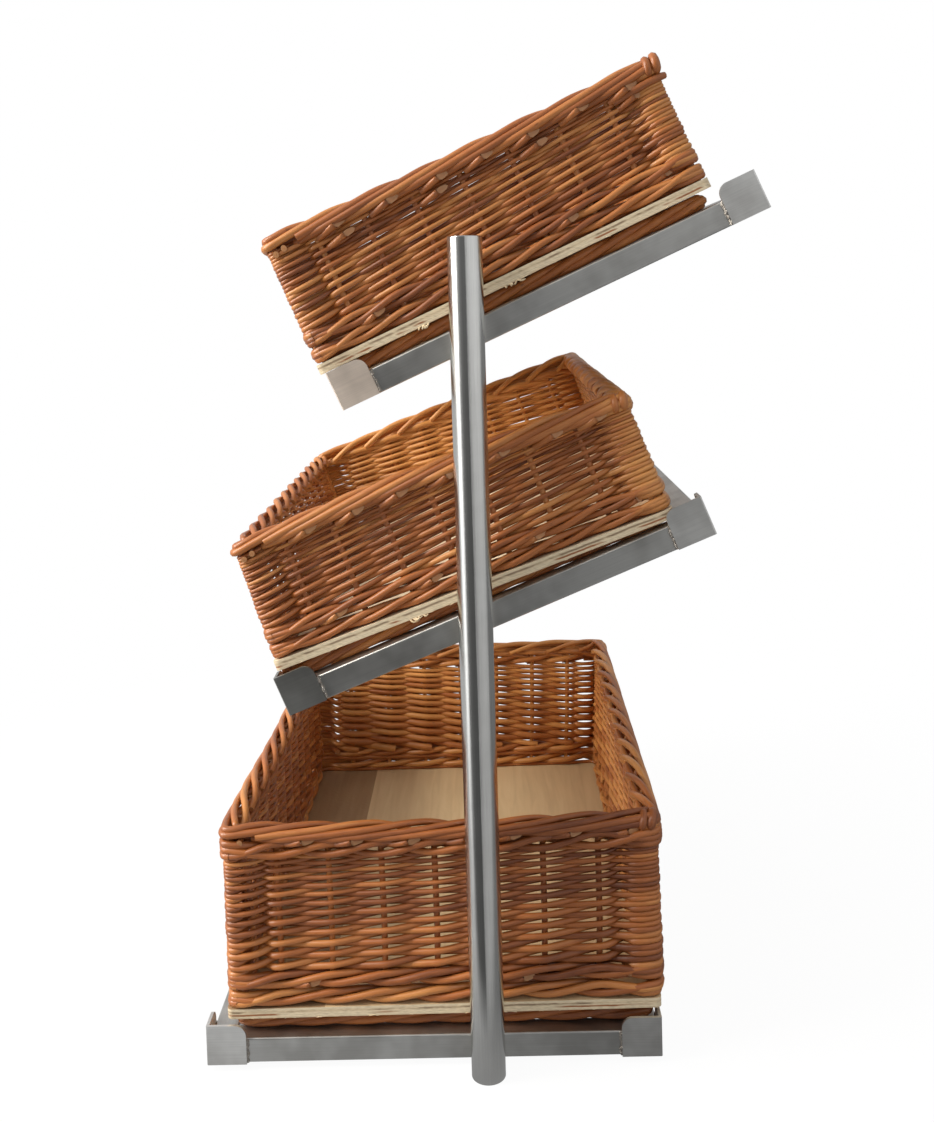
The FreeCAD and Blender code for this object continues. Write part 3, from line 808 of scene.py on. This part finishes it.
def rim(tier, loop, wall_top):
    """The plaited border, and the ends that come out under it."""
    rods = Rods()
    border(rods, loop, wall_top, 3.7)
    border_ends(rods, loop, wall_top)
    knot(rods, loop, tier, wall_top)
    stubs(rods, loop, wall_top + 0.5, 3.2, range(1, loop.total - 3), 12.6)
    if tier == "upper":
        stubs(rods, loop, wall_top - 10.5, 3.0, range(1, loop.total - 3, 2), 10.4)
    return rods


def foot_rope(tier, depth):
    rods = Rods()
    foot(rods, Loop(depth, FOOT_INSET), tier)
    if tier == "middle":
        foot_ends(rods, tier)
    return rods


def basket(tier, willow):
    """The woven parts of one basket, each with the CAD nodes that it stands for."""
    _, depth, height, _, _ = BASKETS[tier]
    loop = Loop(depth, STAKE_INSET)
    name = f"{tier}_basket"
    wall_top = height - RIM
    walls = [f"{name}_{side}_wall" for side in ("front", "back", "left", "right")]
    side_stakes(loop, wall_top).build(f"{name}_side_stakes", tier, willow, [])
    corner_posts(loop, wall_top).build(f"{name}_corner_posts", tier, willow, [f"{name}_corner_stakes"])
    weave(tier, loop, wall_top).build(f"{name}_weave", tier, willow, walls)
    wales(tier, loop, wall_top).build(f"{name}_wale", tier, willow, [])
    rim(tier, loop, wall_top).build(f"{name}_border", tier, willow, [f"{name}_rim_border"])
    foot_rope(tier, depth).build(f"{name}_foot", tier, willow, [f"{name}_foot_border"])


FIBRES = 46  # splinters along each board
CHIPS = {"lower": (), "middle": (150.0,), "upper": (112.0, 206.0)}  # torn places on the near edge
CHIP_FIBRES = 5


def splinters(tier, material):
    """Torn fibres along the lower edges of a board, most of them near, and at its torn places."""
    depth = BASKETS[tier][1]
    chips = Rods()
    for _ in range(FIBRES):
        y = rng.uniform(4, depth - 4)
        x = BOARD_HALF - rng.uniform(0.2, 1.6)
        side = rng.choice((1, 1, 1, -1))
        length, drop = rng.uniform(2, 9), rng.uniform(0.2, 1.3)
        start = np.array([side * x, y, rng.uniform(0.2, 0.9)])
        tip = start + [side * rng.uniform(0, 1.0), rng.choice((-1, 1)) * length, -drop]
        chips.add([start, (start + tip) / 2 + [0, 0, 0.2], tip], [0.55, 0.45, 0.15],
                  tone=rng.uniform(0.4, 1.0))
    for y in CHIPS[tier]:
        for _ in range(CHIP_FIBRES):
            start = np.array([BOARD_HALF - 1.0, y + rng.uniform(-8, 8), 0.8])
            tip = start + [rng.uniform(0, 2), rng.uniform(-9, 9), -rng.uniform(1.5, 4.5)]
            bend = (start + tip) / 2 + [1.5, rng.uniform(-2, 2), -1.5]
            chips.add(*curve([start, bend, tip], [0.8, 0.9, 0.4], step=1.5), tone=rng.uniform(0.2, 0.8))
    chips.build(f"{tier}_basket_splinters", tier, material, [], slot="birch_plywood", settled=False)


# ------------------------------------------------------------ steel

BEAD_OUT = 0.7  # a bead's line beyond the end of a leg and the face of a tube


def bead(beads, steps, x_side, across, x_jitter, line, outward, y_jitter, thickest):
    """An uneven bead up the edge where the leg of a corner angle ends on a tube."""
    z = np.linspace(1.0, TUBE - 0.5, steps)
    x = [x_side * (across + rng.uniform(*x_jitter)) for _ in range(steps)]
    y = [line + outward * (BEAD_OUT + rng.uniform(*y_jitter)) for _ in range(steps)]
    radii = [rng.uniform(1.2, thickest) for _ in range(steps)]
    beads.add(np.column_stack([x, y, z]), radii, upright=True, tone=0.5)


def bracket_welds(tier, material):
    """Weld beads at the side legs and the cross legs of a tray's four corner angles."""
    beads = Rods()
    leg_end = SIDE_LEG - BRACKET
    for x_side in (-1, 1):
        for line, inward in ((leg_end, 1), (TRAY_DEPTH - leg_end, -1)):
            bead(beads, 16, x_side, TRAY_HALF + BEAD_OUT, (-0.3, 0.5), line, inward, (-0.5, 0.6), 2.2)
        for line, outward in ((0.0, -1), (TRAY_DEPTH, 1)):
            across = TRAY_HALF - (CROSS_LEG - BRACKET + BEAD_OUT)
            bead(beads, 14, x_side, across, (-0.5, 0.5), line, outward, (-0.3, 0.5), 2.1)
    beads.build(f"{tier}_bracket_welds", tier, material, [], slot="weld_steel",
                place=tray_frame(tier), body="frame", settled=False)


def paint(node, material):
    """Gives a CAD node its material."""
    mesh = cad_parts[node].data
    mesh.materials.clear()
    mesh.materials.append(material)


# Painted light: each bracket's brightness and warmth stand in for the light and reflections that fall on it
BRACKETS = {  # brightness, warmth and metal share of the steel, after the photo
    ("lower", "front"): (0.92, 0.0, 1.0), ("lower", "back"): (0.97, 0.0, 1.0),
    ("middle", "front"): (0.50, 0.0, 1.0), ("middle", "back"): (0.76, 0.0, 1.0),
    ("upper", "front"): (0.96, 2.0, 0.65), ("upper", "back"): (0.86, 0.0, 1.0),
}
SIDE_TUBES = {"lower": 0.69, "middle": 0.62, "upper": 0.66}  # brightness, lighter or darker per tier as painted light


def paint_tray(tier):
    tilt = TRAYS[tier][2]
    side_steel = steel_material(f"{tier}_side_steel", tilt, (0, 1, 0), SIDE_TUBES[tier])
    cross_steel = steel_material(f"{tier}_cross_steel", tilt, (1, 0, 0))
    for side in ("left", "right"):
        paint(f"{tier}_tray_{side}_tube", side_steel)
    for end in ("front", "back"):
        paint(f"{tier}_tray_{end}_tube", cross_steel)
        base, warm, metal = BRACKETS[tier, end]
        bracket_steel = steel_material(f"{tier}_{end}_bracket_steel", tilt, (0, 1, 0), base,
                                       warm=warm, metal=metal)
        for side in ("left", "right"):
            paint(f"{tier}_tray_bracket_{end}_{side}", bracket_steel)


def paint_posts_and_feet():
    post_steel = steel_material("post_steel", along=(0, 0, 1), base=0.80, roughness=0.14, streak=0.05,
                                dirt=0.2)
    for node in ("left_post", "right_post", "post_end_caps"):
        paint(node, post_steel)
    paint("rubber_feet", rubber_material())


# ------------------------------------------------------------ studio, in metres

FLOOR_HALF = 30.0
FLOOR_TO_OBJECT, FLOOR_TO_CAMERA = (0.42, 0.42, 0.42, 1), (0.93, 0.93, 0.93, 1)
SHADOWED = (0.4, 1.2, 0.95, 1.0)  # distances, and shares of plain white that the camera sees there
MIRRORED = (-0.27, 0.15, 0.50, 0.18)  # places along Y, and levels that the steel sees there
MIRROR_END = (0.43, 0.54)  # places along X where the floor fades out of the steel
WHITE = (1, 1, 1, 1)


def stage_plane(name, size, material):
    mesh = bpy.data.meshes.new(name)
    mesh.from_pydata([(-size, -size, 0), (size, -size, 0), (size, size, 0), (-size, size, 0)],
                     [], [(0, 1, 2, 3)])
    mesh.materials.append(material)
    obj = bpy.data.objects.new(name, mesh)
    bpy.context.scene.collection.objects.link(obj)


def floor_material():
    """Pale floor: white to the camera with a soft shadow, grey to the object.

    In the steel it is seen only close to the rack, darker towards the back.
    """
    mat, tree, shader = new_material("floor", {"Roughness": 0.9})
    path = add(tree, "LightPath")
    seen = path.outputs["Is Camera Ray"]
    tree.links.new(mix(tree, seen, FLOOR_TO_OBJECT, FLOOR_TO_CAMERA), shader.inputs["Base Color"])
    glow = add(tree, "Emission", {"Color": WHITE, "Strength": 1.0})
    where = add(tree, "TexCoord").outputs["Object"]
    away = add(tree, "VectorMath", {0: where}, operation="LENGTH").outputs["Value"]
    plain = maths(tree, "MULTIPLY", seen, map_range(tree, away, *SHADOWED))
    direct = add(tree, "MixShader", {0: plain, 1: shader.outputs[0], 2: glow.outputs[0]})
    place = add(tree, "SeparateXYZ", {0: where})
    level = map_range(tree, place.outputs["Y"], *MIRRORED)
    mirrored = add(tree, "Emission", {"Color": level, "Strength": 1.0})
    beyond = map_range(tree, place.outputs["X"], *MIRROR_END, 0.0, 1.0)
    clear = add(tree, "BsdfTransparent")
    reflection = add(tree, "MixShader", {0: beyond, 1: mirrored.outputs[0], 2: clear.outputs[0]})
    whole = add(tree, "MixShader",
                {0: path.outputs["Is Glossy Ray"], 1: direct.outputs[0], 2: reflection.outputs[0]})
    output = next(n for n in tree.nodes if n.type == "OUTPUT_MATERIAL")
    tree.links.new(whole.outputs[0], output.inputs["Surface"])
    return mat


# What the steel sees. A turn of 0.25 looks to the front, 0.5 to +X, 0.75 to the back and 0 or 1 to
# -X. A rise of 0.5 is level, 0 is straight down and 1 straight up.
ROOM = (  # level at a turn: bright window in front, dark camera side, pale wall behind
    (0.00, 0.45), (0.15, 0.50), (0.19, 0.30), (0.217, 0.26), (0.232, 0.9), (0.266, 1.9),
    (0.320, 1.9), (0.334, 0.45), (0.355, 0.20), (0.40, 0.13), (0.43, 0.10), (0.52, 0.10),
    (0.535, 0.52), (0.66, 0.60), (0.76, 0.50), (0.80, 0.20), (0.92, 0.22), (1.0, 0.45),
)
SLOPE = (  # share of that at a rise
    (0.275, 0.80), (0.375, 0.85), (0.44, 1.0), (0.485, 1.25), (0.56, 1.35), (0.725, 1.35),
)
BELOW = (  # level at a turn, looking down
    (0.0, 0.40), (0.20, 0.40), (0.24, 0.80), (0.30, 0.80), (0.335, 0.25), (0.36, 0.10),
    (0.43, 0.08), (0.51, 0.08), (0.53, 0.40), (0.67, 0.42), (0.76, 0.22), (0.82, 0.25), (1.0, 0.40),
)
IS_BELOW = ((0.295, 1), (0.36, 0))  # at a rise
IS_CEILING = ((0.45, 0), (0.8, 1))  # at the upward part of a direction
CEILING = (0.50, 0.50, 0.50, 1)
SOFT_GREY, SOFT_CEILING = (0.65, 0.65, 0.65, 1), (1.15, 1.15, 1.15, 1)  # for matt surfaces
SOFT_LEVEL = (0.92, 0.92, 0.92, 1)


def studio_world():
    """White to the camera; to the object, a pale room with a bright side and a darker one."""
    world = bpy.data.worlds.new("studio")
    bpy.context.scene.world = world
    world.use_nodes = True
    tree = world.node_tree
    tree.nodes.clear()
    where = add(tree, "TexCoord").outputs["Generated"]
    parts = add(tree, "SeparateXYZ", {0: where})
    azimuth = maths(tree, "ARCTAN2", parts.outputs["Y"], parts.outputs["X"])
    turn = maths(tree, "MULTIPLY_ADD", azimuth, 1 / (2 * math.pi), 0.5)
    rise = maths(tree, "MULTIPLY_ADD", parts.outputs["Z"], 0.5, 0.5)
    room = mix(tree, 1.0, grey(tree, turn, ROOM), grey(tree, rise, SLOPE), "MULTIPLY")
    room = mix(tree, grey(tree, rise, IS_BELOW), room, grey(tree, turn, BELOW))
    high = grey(tree, parts.outputs["Z"], IS_CEILING)
    room = mix(tree, high, room, CEILING)
    soft = mix(tree, high, mix(tree, 0.35, room, SOFT_GREY), SOFT_CEILING)
    soft = mix(tree, 1.0, soft, SOFT_LEVEL, "MULTIPLY")
    path = add(tree, "LightPath")
    room = mix(tree, path.outputs["Is Diffuse Ray"], room, soft)
    seen = mix(tree, path.outputs["Is Camera Ray"], room, WHITE)
    back = add(tree, "Background", {"Color": seen, "Strength": 1.0})
    out = add(tree, "OutputWorld")
    tree.links.new(back.outputs[0], out.inputs["Surface"])


def put(obj, right, up, back, place):
    """Adds a lamp or camera at a place, with its three axes."""
    bpy.context.scene.collection.objects.link(obj)
    matrix = np.eye(4)
    matrix[:3, :3] = np.column_stack([right, up, back])
    matrix[:3, 3] = place
    obj.matrix_world = Matrix(matrix.tolist())


LAMP_COLOUR = (1.0, 0.95, 0.87)
LAMP_TARGET = (0, 0, 0.4)
LAMPS = {  # place, size and power in watts
    "key": ((1.1, -2.85, 3.1), (1.0, 1.0), 92),
    "window": ((0.7, -2.9, 1.3), (0.9, 1.0), 72),
}


def area_light(name, place, size, power):
    lamp = bpy.data.lights.new(name, "AREA")
    lamp.shape = "RECTANGLE"
    lamp.size, lamp.size_y = size
    lamp.energy = power
    lamp.color = LAMP_COLOUR
    place = np.array(place, float)
    back = place - np.array(LAMP_TARGET, float)
    back /= np.linalg.norm(back)
    right = np.cross([0, 0, 1], back)
    right /= np.linalg.norm(right)
    put(bpy.data.objects.new(name, lamp), right, np.cross(back, right), back, place)


CAMERA_AT = (1512.46, 9.94, 765.95)  # mm
YAW, PITCH, ROLL = 0.01465, 0.05758, 0.02944  # radians, from looking level along -X
FOCAL_PX = 1227.36  # focal length in pixels of the photograph
PHOTO_HEIGHT_PX = 1122
AXIS_ROW_PX = 370  # row that the optical axis meets
SENSOR = 36.0


def camera():
    """The photograph's viewpoint: beyond the right-hand side, a little below the rack's top."""
    ahead = np.array([-math.cos(YAW) * math.cos(PITCH), -math.sin(YAW) * math.cos(PITCH),
                      -math.sin(PITCH)])
    level = np.array([-math.sin(YAW), math.cos(YAW), 0])
    over = np.cross(level, ahead)
    right = math.cos(ROLL) * level - math.sin(ROLL) * over
    up = math.cos(ROLL) * over + math.sin(ROLL) * level
    data = bpy.data.cameras.new("camera")
    data.sensor_width = SENSOR
    data.lens = FOCAL_PX / PHOTO_HEIGHT_PX * SENSOR
    data.shift_y = -(PHOTO_HEIGHT_PX / 2 - AXIS_ROW_PX) / PHOTO_HEIGHT_PX
    data.clip_end = 100
    obj = bpy.data.objects.new("camera", data)
    put(obj, right, up, -ahead, np.array(CAMERA_AT) * MM)
    bpy.context.scene.camera = obj


# ------------------------------------------------------------ the scene

WILLOW_TONES = ((0.135, 0.031, 0.006), (0.375, 0.113, 0.022), (0.62, 0.272, 0.072))
SPLINTER_TONES = ((0.52, 0.36, 0.20), (0.70, 0.55, 0.34), (0.82, 0.70, 0.50))

willow = willow_material("willow", WILLOW_TONES, 0.46)
splinter = willow_material("splinter", SPLINTER_TONES, 0.7)
for tier in BASKETS:
    basket(tier, willow)
    splinters(tier, splinter)
    paint(f"{tier}_basket_base_board", plywood_material(tier))

weld = weld_material()
paint("post_weld_beads", weld)
for tier in TRAYS:
    paint_tray(tier)
    bracket_welds(tier, weld)
paint_posts_and_feet()

stage_plane("floor", FLOOR_HALF, floor_material())
studio_world()
for name, lamp in LAMPS.items():
    area_light(name, *lamp)
camera()
bpy.context.scene.view_settings.view_transform = "Standard"
